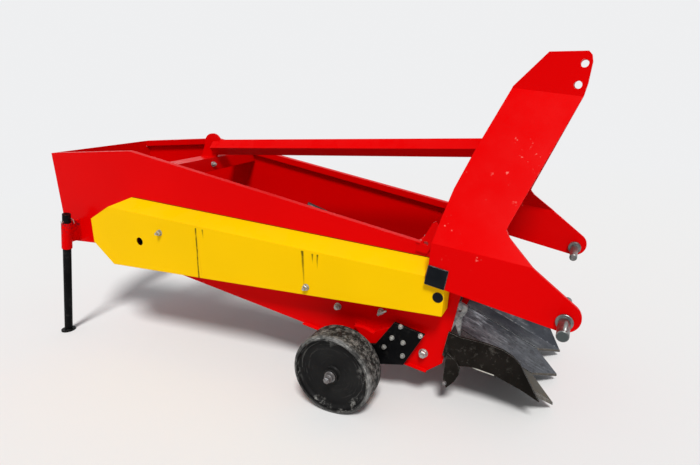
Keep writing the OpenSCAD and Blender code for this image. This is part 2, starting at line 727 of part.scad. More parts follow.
// The wheel's profile as [radius, distance from its outer face]
wheel_r = wheel_dia / 2;
rim_r = wheel_r - wheel_tread;
wheel_profile = concat(
    [[axle_dia / 2 + seat, wheel_width], [axle_dia / 2 + seat, 0], [wheel_hub / 2, 0],
     [wheel_hub / 2, wheel_dish - 4], [wheel_hub / 2 + 4, wheel_dish]],
    arc([rim_r - 3 * wheel_shoulder / 2, wheel_dish - wheel_shoulder], wheel_shoulder, 90, 0, 4),
    [[rim_r - wheel_shoulder / 2, 2]],
    arc([wheel_r - wheel_shoulder, wheel_shoulder], wheel_shoulder, -90, 0, 5),
    arc([wheel_r - wheel_shoulder, wheel_width - wheel_shoulder], wheel_shoulder, 0, 90, 5),
    [[rim_r - wheel_shoulder / 2, wheel_width], [rim_r - wheel_shoulder / 2, wheel_dish + 2 * wheel_disc],
     [rim_r - wheel_shoulder, wheel_dish + wheel_disc], [wheel_hub / 2, wheel_dish + wheel_disc],
     [wheel_hub / 2, wheel_width]]);
module wheel() translate([-wheel_back, -wheel_span / 2, axle_height]) rotate([-90, 0, 0])
    rotate_extrude($fn = 72) polygon(wheel_profile);

// Stand: a leg in a sleeve, held by a pin above the sleeve
stand_y = wall_out + stand_standoff + sleeve_dia / 2;
leg_long = leg_below + sleeve_tall + leg_above;
pin_above = 8;
pin_play = 0.2;
sleeve_bracket = 12;
leg_holes = 3;
pin_along = leg_below + sleeve_tall + pin_above;
leg_hole_places = concat([pin_along],
    [for (i = [1:leg_holes]) pin_along - sleeve_tall - i * leg_hole_pitch]);
module stand_frame() translate([-foot_back, -stand_y, 0]) rotate([0, stand_lean, 0]) children();
module stand_cross_bar(along, d, reach) stand_frame() translate([0, reach, along])
    rotate([90, 0, 0]) cylinder(d = d, h = 2 * reach);
module stand_sleeve() stand_frame() translate([0, 0, leg_below]) difference() {
    union() {
        cylinder(d = sleeve_dia, h = sleeve_tall);
        translate([-sleeve_bracket / 2, 0, sleeve_tall / 5])
            cube([sleeve_bracket, stand_y - wall_out, sleeve_tall * 4 / 5]);
    }
    translate([0, 0, -eps]) cylinder(d = leg_dia + 2 * sleeve_play, h = sleeve_tall + 2 * eps);
}
module stand_leg() {
    difference() {
        stand_frame() translate([0, 0, -leg_dia]) cylinder(d = leg_dia, h = leg_long + leg_dia);
        translate([-far, -far / 2, -far]) cube([far, far, far]);
        for (along = leg_hole_places) stand_cross_bar(along, stand_pin_dia + 2 * pin_play, leg_dia);
    }
    translate([-foot_back, -stand_y, 0]) cylinder(d = foot_dia, h = foot_thick);
}
module stand_pin() stand_cross_bar(pin_along, stand_pin_dia, leg_dia / 2 + pin_above);

color("red") placed() side(-1) side_wall();  // side_wall_right
color("red") placed() side(1) side_wall();  // side_wall_left
color("red") placed() rear_wall();
color("red") placed() cross_beam();
color("red") placed() brace_lug();
color("red") placed() brace();
color("red") placed() side(-1) headstock();  // headstock_right
color("red") placed() side(1) headstock();  // headstock_left
color("red") placed() headstock_spreader();
color("red") placed() tool_tube();
color("black") placed() both() tube_plug();  // tube_plugs
color("silver") placed() side(-1) hitch_pin();  // hitch_pin_right
color("silver") placed() side(1) hitch_pin();  // hitch_pin_left
color("red") placed() both() wall_gusset();  // wall_gussets
color("gray") placed() gearbox();
color("red") placed() gearbox_hanger();
color("silver") placed() pto_shaft();
color("silver") placed() cross_shaft();
color("yellow") placed() chain_guard_rear();
color("yellow") placed() chain_guard_front();
color("silver") placed() elevator_shaft();
color("silver") placed() front_roller();
color("silver") placed() carrier_rollers();
color("gray") placed() rod_web();
color("black") placed() both() web_seal();  // web_seals
color("gray") placed() bearings_left();
color("gray") placed() share_beam();
color("gray") placed() share(-1);  // share_right
color("gray") placed() share(0);  // share_middle
color("gray") placed() share(1);  // share_left
color("dimgray") placed() both() side_knife();  // side_knives
color("dimgray") placed() both() toe_skid();  // toe_skids
color("gray") placed() both() front_bracket();  // front_brackets
color("red") placed() side(-1) arm_bracket();  // arm_bracket_right
color("red") placed() side(1) arm_bracket();  // arm_bracket_left
color("black") placed() side(-1) wheel_arm();  // wheel_arm_right
color("black") placed() side(1) wheel_arm();  // wheel_arm_left
color("dimgray") placed() side(-1) wheel();  // wheel_right
color("dimgray") placed() side(1) wheel();  // wheel_left
color("red") placed() stand_sleeve();
color("black") placed() stand_leg();
color("silver") placed() stand_pin();
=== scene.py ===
"""Looks of a mounted single-row potato digger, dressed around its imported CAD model."""

import math

import bmesh
import bpy
from mathutils import Matrix, Vector


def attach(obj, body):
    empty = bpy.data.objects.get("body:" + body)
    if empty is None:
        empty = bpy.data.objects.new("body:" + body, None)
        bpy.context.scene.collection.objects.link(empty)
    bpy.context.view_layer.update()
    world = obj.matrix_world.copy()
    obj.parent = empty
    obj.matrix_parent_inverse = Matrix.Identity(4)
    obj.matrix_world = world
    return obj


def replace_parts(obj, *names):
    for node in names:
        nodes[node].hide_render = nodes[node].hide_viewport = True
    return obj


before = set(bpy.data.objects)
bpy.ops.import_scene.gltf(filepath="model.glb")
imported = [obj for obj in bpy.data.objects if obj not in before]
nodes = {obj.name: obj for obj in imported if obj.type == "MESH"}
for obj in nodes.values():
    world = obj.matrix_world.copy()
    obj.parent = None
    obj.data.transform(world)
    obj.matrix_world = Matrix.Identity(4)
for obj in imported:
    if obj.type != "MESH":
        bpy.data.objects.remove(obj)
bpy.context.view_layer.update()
scene = bpy.context.scene
scene.view_settings.view_transform = "Standard"

# Floor and light
# A pale, even floor under a soft key light from the front right and an even sky.
# Far from the machine the floor takes the sky's own colour, so no horizon shows.
SKY = (0.86, 0.865, 0.875, 1)
SKY_LEVEL = 0.36
KEY_LEVEL = 2.9


class Value:
    """A number that changes over a surface. Sums on it add Math nodes to its tree."""

    def __init__(self, tree, socket):
        self.tree, self.socket = tree, socket

    def other(self, name):
        return Value(self.tree, self.socket.node.outputs[name])

    def sum(self, operation, first, second=0.0, third=0.0):
        values = {0: first, 1: second, 2: third}
        return self.tree.node("ShaderNodeMath", {"operation": operation}, values)

    def __add__(self, other):
        return self.sum("ADD", self, other)

    def __sub__(self, other):
        return self.sum("SUBTRACT", self, other)

    def __rsub__(self, other):
        return self.sum("SUBTRACT", other, self)

    def __mul__(self, other):
        return self.sum("MULTIPLY", self, other)

    def __truediv__(self, other):
        return self.sum("DIVIDE", self, other)

    def __pow__(self, other):
        return self.sum("POWER", self, other)

    def __gt__(self, other):
        return self.sum("GREATER_THAN", self, other)

    def __lt__(self, other):
        return self.sum("LESS_THAN", self, other)

    def __abs__(self):
        return self.sum("ABSOLUTE", self)

    __radd__, __rmul__ = __add__, __mul__


class Tree:
    """A node tree that is filled through one method."""

    def __init__(self, tree):
        self.tree = tree
        tree.nodes.clear()

    def node(self, kind, settings=None, values=None, output=0):
        made = self.tree.nodes.new(kind)
        for name, value in (settings or {}).items():
            setattr(made, name, value)
        for name, value in (values or {}).items():
            for one in value if isinstance(value, list) else [value]:
                if isinstance(one, Value):
                    self.tree.links.new(one.socket, made.inputs[name])
                else:
                    made.inputs[name].default_value = one
        return Value(self, made.outputs[output]) if made.outputs else None


class Finish(Tree):
    """One material. It reads Object coordinates and ends in a Principled shader."""

    def __init__(self, name):
        self.material = bpy.data.materials.new(name)
        self.material.use_nodes = True
        super().__init__(self.material.node_tree)
        self.at = self.node("ShaderNodeTexCoord", output="Object")
        parts = self.node("ShaderNodeSeparateXYZ", values={0: self.at})
        self.x, self.y, self.z = parts, parts.other("Y"), parts.other("Z")
        self.flat = self.node("ShaderNodeNewGeometry", output="True Normal")
        self.up = self.node("ShaderNodeSeparateXYZ", values={0: self.flat}, output="Z")

    def noise(self, scale, detail=3.0, at=None, rough=0.55):
        values = {"Vector": at or self.at, "Scale": scale, "Detail": detail, "Roughness": rough}
        return self.node("ShaderNodeTexNoise", {}, values)

    def stretched(self, x, y, z, turn=(0, 0, 0)):
        values = {"Vector": self.at, "Scale": (x, y, z), "Rotation": turn}
        return self.node("ShaderNodeMapping", {}, values)

    def vector(self, x, y, z):
        return self.node("ShaderNodeCombineXYZ", {}, {0: x, 1: y, 2: z})

    def soft(self, value, low, high):
        return self.node("ShaderNodeMapRange", {}, {"Value": value, 1: low, 2: high})

    def mix(self, mask, under, over):
        return self.node("ShaderNodeMix", {"data_type": "RGBA"}, {0: mask, 6: under, 7: over}, 2)

    def rounded(self, radius):
        """Normal with the sharp edges rounded, and a mask of those edges."""
        soft = self.node("ShaderNodeBevel", {"samples": 5}, {"Radius": radius})
        along = self.node("ShaderNodeVectorMath", {"operation": "DOT_PRODUCT"},
                          {0: soft, 1: self.flat}, "Value")
        return soft, self.soft(1 - along, 0.02, 0.3)

    def bump(self, height, distance, strength=1.0, normal=None):
        values = {"Height": height, "Distance": distance, "Strength": strength}
        if normal:
            values["Normal"] = normal
        return self.node("ShaderNodeBump", {}, values)

    def done(self, colour, **values):
        sockets = {"Base Color": colour}
        sockets.update({name.replace("_", " "): value for name, value in values.items()})
        surface = self.node("ShaderNodeBsdfPrincipled", {}, sockets)
        self.node("ShaderNodeOutputMaterial", {}, {"Surface": surface})
        return self.material


def wears(material, *names):
    """Puts a material into the slots of CAD nodes."""
    for name in names:
        for one in nodes[name].material_slots:
            one.material = material


world = bpy.data.worlds.new("studio")
world.use_nodes = True
scene.world = world
studio = Tree(world.node_tree)
seen = studio.node("ShaderNodeLightPath", output="Is Camera Ray")
seen = seen + seen.other("Is Glossy Ray") + seen.other("Is Transmission Ray") > 0.5
studio.node("ShaderNodeOutputWorld", {}, {"Surface": studio.node("ShaderNodeMixShader", {}, {
    0: seen,
    1: studio.node("ShaderNodeBackground", {}, {0: (0.97, 0.985, 1, 1), 1: SKY_LEVEL}),
    2: studio.node("ShaderNodeBackground", {}, {0: SKY, 1: 1.0})})})

ground = Finish("pale_floor")
reach = ground.node("ShaderNodeVectorMath", {"operation": "LENGTH"}, {0: ground.at}, "Value")
seen = ground.node("ShaderNodeLightPath", output="Is Camera Ray")
seen = seen + seen.other("Is Glossy Ray") > 0.5
ground.node("ShaderNodeOutputMaterial", {}, {"Surface": ground.node("ShaderNodeMixShader", {}, {
    0: ground.soft(reach, 2.6, 6.5) * seen,
    1: ground.node("ShaderNodeBsdfDiffuse", {}, {0: (0.80, 0.803, 0.81, 1)}),
    2: ground.node("ShaderNodeEmission", {}, {0: SKY, 1: 1.0})})})
mesh = bpy.data.meshes.new("floor")
mesh.from_pydata([(-60, -60, 0), (60, -60, 0), (60, 60, 0), (-60, 60, 0)], [], [(0, 1, 2, 3)])
mesh.materials.append(ground.material)
floor = bpy.data.objects.new("floor", mesh)
scene.collection.objects.link(floor)

key = bpy.data.objects.new("key_light", bpy.data.lights.new("key_light", "SUN"))
key.data.energy = KEY_LEVEL
key.data.angle = math.radians(14)
key.data.color = (1.0, 0.985, 0.96)
key.rotation_mode = "QUATERNION"
key.rotation_quaternion = Vector((0.39, -0.68, 1.0)).to_track_quat("Z", "Y")
scene.collection.objects.link(key)

# Camera
# Stands where the photograph was taken: 1.13 m above the ground, at the machine's right front.
camera = bpy.data.objects.new("camera", bpy.data.cameras.new("camera"))
camera.data.sensor_width = 36
camera.data.lens = 26
camera.matrix_world = (Matrix.Translation((1.2225, -1.93, 1.13))
                       @ Matrix.Rotation(math.radians(25.83), 4, "Z")
                       @ Matrix.Rotation(math.radians(90 - 15.31), 4, "X")
                       @ Matrix.Rotation(math.radians(-2.67), 4, "Z"))
scene.collection.objects.link(camera)
scene.camera = camera

# Walls, beam, brace and tube
# Folded and welded steel sheet with a gloss red enamel that was sprayed on in one go, so it has
# a fine orange peel, slightly thin edges and a little dust on what faces up.
HITCH = 1.1865


def at(behind, side, height):
    """A place given in mm behind the lower hitch pins, to the left and above the ground."""
    return Vector((HITCH - behind / 1000, side / 1000, height / 1000))


def enamel(name, colour, thin, scuff=None):
    paint = Finish(name)
    shape, edge = paint.rounded(0.0022)
    cloud = paint.noise(1.7, 2.0)
    peel = paint.noise(210.0, 2.0)
    dust = paint.soft(paint.up, 0.3, 1.0) * paint.soft(paint.noise(9.0, 5.0), 0.4, 0.75)
    shade = paint.mix(paint.soft(cloud, 0.3, 0.7), (*[c * 0.93 for c in colour], 1), (*colour, 1))
    shade = paint.mix(dust * 0.010, shade, (0.62, 0.52, 0.46, 1))
    shade = paint.mix(edge * paint.soft(paint.noise(46.0, 4.0), 0.40, 0.74) * 0.08, shade, (*thin, 1))
    rough = 0.24 + dust * 0.2
    if scuff:
        mark, shade_of_mark = scuff(paint)
        shade = paint.mix(mark, shade, shade_of_mark)
        rough = rough + mark * 0.3
    return paint.done(shade, Roughness=rough, Specular_IOR_Level=0.028,
                      Normal=paint.bump(peel, 0.0004, 0.12, shape))


RED, RED_THIN = (0.69, 0.0, 0.0004), (0.90, 0.24, 0.20)
red_enamel = enamel("red_enamel", RED, RED_THIN)
wears(red_enamel, "side_wall_right", "side_wall_left", "rear_wall", "cross_beam", "brace_lug",
      "brace", "headstock_spreader", "tool_tube", "wall_gussets", "gearbox_hanger",
      "arm_bracket_right", "arm_bracket_left")


def rubbing(paint):
    """Dark marks that the pin and its ring have left round the top of the stand's sleeve."""
    spots = paint.soft(paint.noise(62.0, 4.0, rough=0.65), 0.50, 0.57)
    return spots * paint.soft(paint.z, 0.520, 0.575) * 0.75, (0.045, 0.012, 0.022, 1)


wears(enamel("sleeve_enamel", RED, RED_THIN, rubbing), "stand_sleeve")

# Headstock
# Two 12 mm plates, each bent twice, which carry the lower pins and the top link. Handling has
# left small pale scuffs in the red enamel of the leaning faces.


def handling(paint):
    spots = paint.soft(paint.noise(60.0, 4.0), 0.66, 0.71)
    patch = paint.soft(paint.noise(7.5, 1.0), 0.56, 0.66)
    band = paint.soft(paint.z, 0.55, 0.62) * paint.soft(paint.z, 1.02, 0.92)
    return spots * patch * band * 0.42, (0.90, 0.36, 0.30, 1)


wears(enamel("headstock_enamel", RED, RED_THIN, handling), "headstock_right", "headstock_left")

# Weld beads
# Fillet welds where the tubes and plates of the frame meet, run by hand and painted over.
# Each is a rippled bead that follows a line of points.


def pattern(name, sizes):
    """A new geometry tree with a mesh input, a material input and named numbers."""
    group = bpy.data.node_groups.new(name, "GeometryNodeTree")
    group.interface.new_socket("Mesh", in_out="INPUT", socket_type="NodeSocketGeometry")
    for label in sizes:
        group.interface.new_socket(label, in_out="INPUT", socket_type="NodeSocketFloat")
    group.interface.new_socket("Material", in_out="INPUT", socket_type="NodeSocketMaterial")
    group.interface.new_socket("Mesh", in_out="OUTPUT", socket_type="NodeSocketGeometry")
    tree = Tree(group)
    return tree, tree.node("NodeGroupInput", output="Mesh")


def close(tree, shape, source):
    """Ends a geometry tree in real geometry with its material."""
    real = tree.node("GeometryNodeRealizeInstances", {}, {0: shape})
    made = tree.node("GeometryNodeSetMaterial", {}, {0: real, "Material": source.other("Material")})
    tree.node("NodeGroupOutput", {}, {0: made})


def grow(name, mesh, tree, material, slot, body, **sizes):
    """Runs a geometry tree on a mesh and keeps the result as a plain piece on a body."""
    seed = bpy.data.objects.new(name + "_seed", mesh)
    scene.collection.objects.link(seed)
    made = seed.modifiers.new("grow", "NODES")
    made.node_group = tree.tree
    for socket in tree.tree.interface.items_tree:
        if socket.in_out == "INPUT" and socket.name != "Mesh":
            value = material if socket.name == "Material" else sizes[socket.name]
            made[socket.identifier] = value
    result = bpy.data.meshes.new_from_object(
        seed.evaluated_get(bpy.context.evaluated_depsgraph_get()))
    seed.modifiers.remove(made)
    bpy.data.objects.remove(seed)
    result.name = name
    piece = bpy.data.objects.new(name, result)
    scene.collection.objects.link(piece)
    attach(piece, body)
    return piece


bead, source = pattern("weld_bead", ["Radius", "Ripple"])
line = bead.node("GeometryNodeMeshToCurve", {}, {0: source})
line = bead.node("GeometryNodeResampleCurve", {"mode": "LENGTH"}, {0: line, "Length": 0.0021})
length = bead.node("GeometryNodeSplineParameter", output="Length")
wave = bead.node("ShaderNodeMath", {"operation": "SINE"}, {0: length / source.other("Ripple")})
lumps = bead.node("ShaderNodeTexNoise", {"noise_dimensions": "1D"}, {"W": length, "Scale": 60.0})
ring = bead.node("GeometryNodeCurvePrimitiveCircle", {}, {"Resolution": 7, "Radius": 1.0})
scale = source.other("Radius") * (wave * 0.12 + lumps * 0.5 + 0.7)
tube = bead.node("GeometryNodeCurveToMesh", {}, {0: line, 1: ring, "Scale": scale, "Fill Caps": True})
close(bead, bead.node("GeometryNodeSetShadeSmooth", {}, {0: tube}), source)


def lines(name, runs):
    """A mesh of open lines, one for each run of points."""
    points, edges = [], []
    for run in runs:
        edges += [(len(points) + i, len(points) + i + 1) for i in range(len(run) - 1)]
        points += run
    mesh = bpy.data.meshes.new(name)
    mesh.from_pydata(points, edges, [])
    return mesh


def circle(centre, normal, radius, steps, start=0.0):
    """Points round an axis, from the start angle on."""
    side = Vector(normal).orthogonal().normalized()
    for step in range(steps + 1):
        angle = math.radians(start + 360.0 * step / steps)
        yield centre + Matrix.Rotation(angle, 3, normal) @ side * radius


# Slope and middle of the tool tube, and lean and place of the stand, in mm behind the hitch pins
# and above the ground
FALL, TUBE_BACK, TUBE_HEIGHT, TUBE_HALF = math.radians(12.7), 395, 536, 35
LEAN, FOOT_BACK = math.radians(14.5), 2386


def tube_corner(along, up, side):
    """A corner of the tool tube's section, along and up being -1 or 1."""
    x = TUBE_HALF * (along * math.cos(FALL) + up * math.sin(FALL))
    z = TUBE_HALF * (up * math.cos(FALL) - along * math.sin(FALL))
    return at(TUBE_BACK - x, side, TUBE_HEIGHT + z)


runs = []
for hand in (-1, 1):
    # Round the tool tube, on the headstock plate and on both faces of the wall
    for face in (hand * 392.0, hand * 308.5, hand * 303.5):
        runs.append([tube_corner(a, u, face) for a, u in ((1, -1), (-1, -1), (-1, 1), (1, 1), (1, -1))])
    # Rear corner, the beam's top and front, the gusset, the wheel's bracket and the lug
    runs.append([at(2343, hand * 303, z) for z in range(482, 880, 40)])
    runs.append([at(b, hand * 303, 867) for b in (1594, 1700)])
    runs.append([at(1589, hand * 303, z) for z in (812, 860)])
    runs.append([at(b, hand * 310, 930 - math.tan(math.radians(13)) * (1819 - b) - 1)
                 for b in (494, 456)])
    runs.append([at(745, hand * 309, 272), at(710, hand * 309, 232), at(677, hand * 309, 202),
                 at(661, hand * 309, 180), at(545, hand * 309, 178)])
    runs.append([at(b, hand * 6, 869) for b in (1680, 1594)])
# The sleeve's plate on the wall, and the brace on the spreader
runs.append([at(FOOT_BACK - 6 - z * math.tan(LEAN), -308.5, z) for z in (492, 590)])
runs.append(list(circle(at(316, 0, 914), (1, 0, 0), 0.0355, 4, 45)))
grow("weld_beads", lines("weld_lines", runs), bead, red_enamel, "red_paint", "frame",
     Radius=0.0032, Ripple=0.0011)

# Zinc-plated fasteners
# Hex bolts and nuts on washers, zinc plated and slightly dulled. Each stands on a point that
# knows which way it faces and how wide it is across the flats.
zinc = Finish("zinc_plate")
shape, _ = zinc.rounded(0.0008)
mottle = zinc.noise(70.0, 5.0)
tint = zinc.mix(zinc.soft(mottle, 0.35, 0.65), (0.32, 0.32, 0.31, 1), (0.54, 0.54, 0.51, 1))
tint = zinc.mix(zinc.soft(zinc.noise(24.0, 4.0), 0.56, 0.7) * 0.5, tint, (0.26, 0.25, 0.22, 1))
zinc_plate = zinc.done(tint, Metallic=0.88, Roughness=0.30 + mottle * 0.26,
                       Normal=zinc.bump(mottle, 0.0006, 0.2, shape))

fastener, source = pattern("hex_fastener", ["Thread"])


def solid(tree, corners, low, high, bottom, top):
    """A turned or hexagonal solid between two heights, for one fastener."""
    values = {"Vertices": corners, "Radius Top": top, "Radius Bottom": bottom, "Depth": high - low}
    made = tree.node("GeometryNodeMeshCone", {}, values)
    return tree.node("GeometryNodeTransform", {}, {0: made, "Translation": (0, 0, low)})


parts = [solid(fastener, 24, 0.0, 0.13, 0.68, 0.66), solid(fastener, 6, 0.12, 0.62, 0.577, 0.577),
         solid(fastener, 6, 0.615, 0.70, 0.5765, 0.50), solid(fastener, 12, 0.68, 0.76, 0.30, 0.27)]
tail = fastener.node("GeometryNodeTransform", {}, {
    0: solid(fastener, 12, 0.0, 1.0, 0.30, 0.28),
    "Scale": fastener.node("ShaderNodeCombineXYZ", {}, {0: 1.0, 1: 1.0, 2: source.other("Thread")}),
    "Translation": (0, 0, 0.69)})
whole = fastener.node("GeometryNodeJoinGeometry", {}, {0: parts + [tail]})
facing = fastener.node("GeometryNodeInputNamedAttribute", {"data_type": "FLOAT_VECTOR"}, {0: "facing"})
across = fastener.node("GeometryNodeInputNamedAttribute", {"data_type": "FLOAT"}, {0: "across"})
turn = fastener.node("FunctionNodeRandomValue", {"data_type": "FLOAT"}, {2: 0.0, 3: 1.05, 8: 7}, 1)
spin = fastener.node("FunctionNodeAxisAngleToRotation", {}, {0: (0, 0, 1), 1: turn})
stand = fastener.node("FunctionNodeAlignRotationToVector", {"axis": "Z"}, {2: facing})
stand = fastener.node("FunctionNodeRotateRotation", {"rotation_space": "LOCAL"}, {0: stand, 1: spin})
close(fastener, fastener.node("GeometryNodeInstanceOnPoints", {}, {
    0: source, 2: whole, "Rotation": stand, "Scale": across}), source)


def fasteners(name, rows, thread=0.35, material=zinc_plate, slot="zinc_steel"):
    """Bolts or nuts at (place, facing, mm across the flats)."""
    mesh = bpy.data.meshes.new(name)
    mesh.from_pydata([row[0] for row in rows], [], [])
    mesh.attributes.new("facing", "FLOAT_VECTOR", "POINT")
    mesh.attributes.new("across", "FLOAT", "POINT")
    for index, (_, facing, across) in enumerate(rows):
        mesh.attributes["facing"].data[index].vector = Vector(facing).normalized()
        mesh.attributes["across"].data[index].value = across / 1000
    grow(name, mesh, fastener, material, slot, "frame", Thread=thread)


rows = []
for hand in (-1, 1):
    out = (0, hand, 0)
    for behind, height in ((546, 305), (471, 281), (581, 254), (538, 242), (614, 211), (541, 188)):
        rows.append((at(behind, hand * 340, height), out, 14))
    rows.append((at(816, hand * 308, 333), out, 22))
    rows.append((at(471, hand * 308, 196), out, 26))
    rows.append((at(635, hand * 308, 338), out, 19))
fasteners("wall_bolts", rows)
fasteners("beam_bolt", [(at(1589, -34, 838), (1, 0, 0), 19)])

# Chain guard
# A thin steel box in two sections, sprayed yellow. Grease has run down from the bend in a few
# thin lines, one of them along the seam, and painted shade darkens its edge against the wall.
# Two bolts hold it, and its face has two round holes.


def grease_and_painted_shade(paint):
    """Thin dark grease runs as (mm behind, top, bottom, half width, lean), the seam's not tapering, and
    painted shade along the edge against the wall.
    """
    joint_run = 1416
    table = ((joint_run, 0.626, 0.405, 0.0048, 0.073), (1382, 0.622, 0.580, 0.0050, 0.0),
             (912, 0.575, 0.395, 0.0075, 0.02), (870, 0.567, 0.525, 0.0044, 0.0),
             (848, 0.566, 0.505, 0.0050, 0.08))
    total = None
    for behind, top, bottom, half, lean in table:
        middle = (paint.z - top) * lean + at(behind, 0, 0).x
        off = abs(paint.x - middle + (paint.noise(30.0, 2.0) - 0.5) * 0.004)
        if behind == joint_run:
            fade = (paint.z > bottom) * (paint.z < top)
        else:
            fade = paint.soft(paint.z, bottom, top - 0.004) ** 0.8 * (paint.z < top)
        run = paint.soft(off / (fade * half + 0.0004), 1.0, 0.3) * fade
        total = run if total is None else total.sum("MAXIMUM", total, run)
    total = total * paint.soft(paint.noise(40.0, 4.0), 0.15, 0.50) * (paint.y < -0.37)
    # Painted shade: the last few mm of the guard next to the wall are darkened, as that crease lies in
    # shade.
    wall_edge_painted_shade = paint.y > -0.3112
    return total.sum("MAXIMUM", total * 0.93, wall_edge_painted_shade), (0.040, 0.026, 0.003, 1)


YELLOW, YELLOW_THIN = (0.91, 0.54, 0.0), (0.96, 0.80, 0.26)
wears(enamel("yellow_enamel", YELLOW, YELLOW_THIN, grease_and_painted_shade), "chain_guard_rear", "chain_guard_front")
rows = [(at(behind, -388, height), (0, -1, 0), 20) for behind, height in ((1620, 591), (906, 431))]
fasteners("guard_bolts", rows, 0.55)

# Turned hitch pins
# Turned and zinc-plated pins with welded collars. The outer end has a hole for a linch pin, and
# every end is chamfered.


def kept(name, bm, material, body, smooth=35):
    """Turns a bmesh into a piece with outward faces and its sharp edges marked."""
    bmesh.ops.remove_doubles(bm, verts=bm.verts, dist=1e-6)
    bmesh.ops.recalc_face_normals(bm, faces=bm.faces)
    mesh = bpy.data.meshes.new(name)
    bm.to_mesh(mesh)
    bm.free()
    for face in mesh.polygons:
        face.use_smooth = True
    mesh.set_sharp_from_angle(angle=math.radians(smooth))
    mesh.materials.append(material)
    piece = bpy.data.objects.new(name, mesh)
    scene.collection.objects.link(piece)
    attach(piece, body)
    return piece


def turn_on(bm, profile, centre, axis, steps=40):
    """Adds a turned solid: profile rows are (mm along the axis, mm radius)."""
    turned = Vector(axis).to_track_quat("Z", "Y").to_matrix()
    rings = []
    for along, radius in profile:
        if radius == 0:
            rings.append([bm.verts.new(centre + turned @ Vector((0, 0, along / 1000)))])
            continue
        rings.append([bm.verts.new(centre + turned @ Vector((
            radius / 1000 * math.cos(a), radius / 1000 * math.sin(a), along / 1000)))
            for a in (2 * math.pi * i / steps for i in range(steps))])
    for low, high in zip(rings, rings[1:]):
        for i in range(steps):
            j = (i + 1) % steps
            corners = [low[i % len(low)], low[j % len(low)], high[j % len(high)], high[i % len(high)]]
            corners = list(dict.fromkeys(corners))
            if len(corners) > 2:
                bm.faces.new(corners)


def cut(piece, cutter):
    """Takes a cutter out of a piece and removes the cutter."""
    made = piece.modifiers.new("cut", "BOOLEAN")
    made.object, made.solver = cutter, "EXACT"
    result = bpy.data.meshes.new_from_object(
        piece.evaluated_get(bpy.context.evaluated_depsgraph_get()))
    piece.modifiers.remove(made)
    piece.data = result
    bpy.data.objects.remove(cutter)


pin_finish = Finish("pin_steel")
shape, _ = pin_finish.rounded(0.001)
mottle = pin_finish.noise(55.0, 5.0)
sawn = pin_finish.soft(abs(pin_finish.y), 0.5080, 0.5083)
tint = pin_finish.mix(pin_finish.soft(mottle, 0.35, 0.65), (0.12, 0.12, 0.12, 1), (0.27, 0.27, 0.265, 1))
tint = pin_finish.mix(sawn, tint, (0.055, 0.066, 0.066, 1))
pin_steel = pin_finish.done(tint, Metallic=0.9 - sawn * 0.5, Roughness=0.28 + mottle * 0.16 + sawn * 0.2,
                            Normal=pin_finish.bump(mottle, 0.0005, 0.2, shape))
PIN_HEIGHT = 440
for hand, word in ((-1, "right"), (1, "left")):
    pin = bmesh.new()
    profile = [(-157, 0), (-157, 11), (-153, 15), (-17.5, 15), (-16.5, 24.5), (-15, 26), (-1.5, 26),
               (0, 24.5), (0, 15), (12, 15), (12, 25), (13.2, 26), (18.8, 26), (20, 24.6),
               (20, 18.3), (112.6, 18.3), (116, 15.2), (116, 0)]
    turn_on(pin, profile, at(0, hand * 392.5, PIN_HEIGHT), (0, hand, 0))
    pin = kept("hitch_pin_" + word + "_turned", pin, pin_steel, "frame")
    hole = bmesh.new()
    turn_on(hole, [(-24, 0), (-24, 5.5), (24, 5.5), (24, 0)], at(0, hand * 496.5, PIN_HEIGHT),
            (0.35, 0, 1), 20)
    cut(pin, kept("linch_hole", hole, pin_steel, "frame"))
    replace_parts(pin, "hitch_pin_" + word)

# Tube plugs
# Moulded black plugs that close the square tool tube. Their rims are scraped pale at the edges.
plastic = Finish("black_plastic")
shape, edge = plastic.rounded(0.0016)
grain = plastic.noise(420.0, 2.0)
scrape = edge * plastic.soft(plastic.noise(60.0, 5.0), 0.36, 0.6)
shade = plastic.mix(plastic.soft(plastic.noise(22.0, 4.0), 0.4, 0.8) * 0.5,
                    (0.004, 0.005, 0.007, 1), (0.013, 0.015, 0.020, 1))
shade = plastic.mix(scrape * 0.85, shade, (0.34, 0.34, 0.33, 1))
black_plastic = plastic.done(shade, Roughness=0.42 + scrape * 0.3, Specular_IOR_Level=0.06,
                             Normal=plastic.bump(grain, 0.0003, 0.25, shape))
for hand, word in ((-1, "right"), (1, "left")):
    plug = bmesh.new()
    matrix = Matrix.Translation(at(TUBE_BACK, hand * 406.6, TUBE_HEIGHT)) @ Matrix.Rotation(FALL, 4, "Y")
    bmesh.ops.create_cube(plug, size=1, matrix=matrix @ Matrix.Diagonal((0.070, 0.0042, 0.070, 1)))
    bmesh.ops.bevel(plug, geom=plug.edges[:], offset=0.0016, segments=3, affect="EDGES")
    inner = matrix @ Matrix.Translation((0, -hand * 0.0095, 0))
    bmesh.ops.create_cube(plug, size=1, matrix=inner @ Matrix.Diagonal((0.0574, 0.015, 0.0574, 1)))
    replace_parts(kept("tube_plug_" + word, plug, black_plastic, "frame"), "tube_plugs")

# Fittings behind the guard's holes
# A pressed plug of black plastic closes the front hole, another the cross shaft's unused hole in the
# left wall. The chain's tension roller, black too, turns on a stud behind the rear hole, where its
# black stands in for the shade inside the guard.
SHAFT_BACK, SHAFT_HEIGHT = 525, 462
stopper = bmesh.new()
turn_on(stopper, [(-6, 0), (-6, 14.6), (0.2, 14.8), (0.2, 18.5), (1.6, 18.2), (3.0, 15.5), (3.4, 9),
                  (2.6, 0)], at(395, -388, 458), (0, -1, 0), 36)
kept("guard_stopper", stopper, black_plastic, "frame")
stopper = bmesh.new()
turn_on(stopper, [(-6, 0), (-6, 15), (0.2, 15.4), (0.2, 25), (1.8, 24.6), (3.4, 20), (3.8, 11), (3, 0)],
        at(SHAFT_BACK, 308, SHAFT_HEIGHT), (0, 1, 0), 36)
kept("wall_stopper", stopper, black_plastic, "frame")
